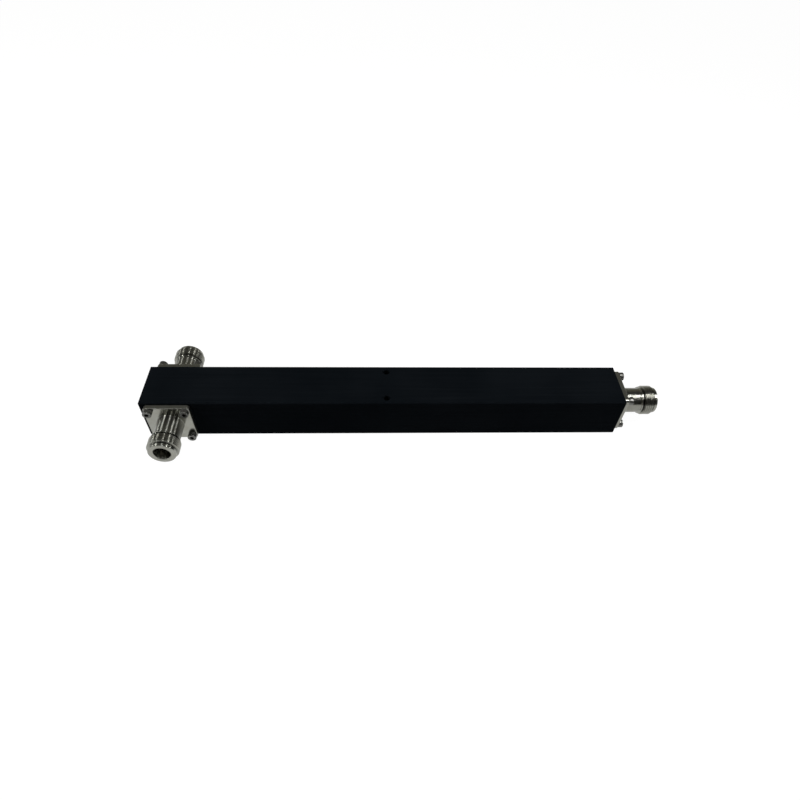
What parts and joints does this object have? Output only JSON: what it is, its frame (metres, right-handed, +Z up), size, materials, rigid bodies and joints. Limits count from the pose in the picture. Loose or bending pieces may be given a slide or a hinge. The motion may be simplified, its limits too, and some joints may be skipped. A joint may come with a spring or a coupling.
{
  "type": "cavity power splitter",
  "caption": "Black bar-shaped coaxial power splitter with a flanged threaded input jack on one end and output jacks on both long sides near the other end.",
  "frame": {"origin": "centre of the housing's underside", "axes": "+X along the body towards the input jack, +Y towards the rear output jack, +Z up through the top face with the mounting holes"},
  "size_m": [0.2744, 0.0716, 0.0248],
  "materials": {
    "anodised_aluminium": "black anodised, satin",
    "nickel_plated_brass": "bright nickel plated",
    "stainless_steel": "plain stainless steel",
    "silvered_brass": "silver plated",
    "silvered_contact": "silver plated, slightly dull",
    "ptfe": "white, waxy",
    "seal_rubber": "black"
  },
  "bodies": {
    "root": {"housing": "anodised_aluminium", "end_plug": "anodised_aluminium", "inner_conductor": "silvered_brass", "clamp_screw": "stainless_steel", "output_support_ring": "ptfe", "input_support_ring": "ptfe", "input_shell": "nickel_plated_brass", "input_insulator": "ptfe", "input_contact": "silvered_contact", "input_seal": "seal_rubber", "input_screws": "stainless_steel", "front_shell": "nickel_plated_brass", "front_insulator": "ptfe", "front_contact": "silvered_contact", "front_seal": "seal_rubber", "front_screws": "stainless_steel", "rear_shell": "nickel_plated_brass", "rear_insulator": "ptfe", "rear_contact": "silvered_contact", "rear_seal": "seal_rubber", "rear_screws": "stainless_steel"}
  },
  "joints": []
}
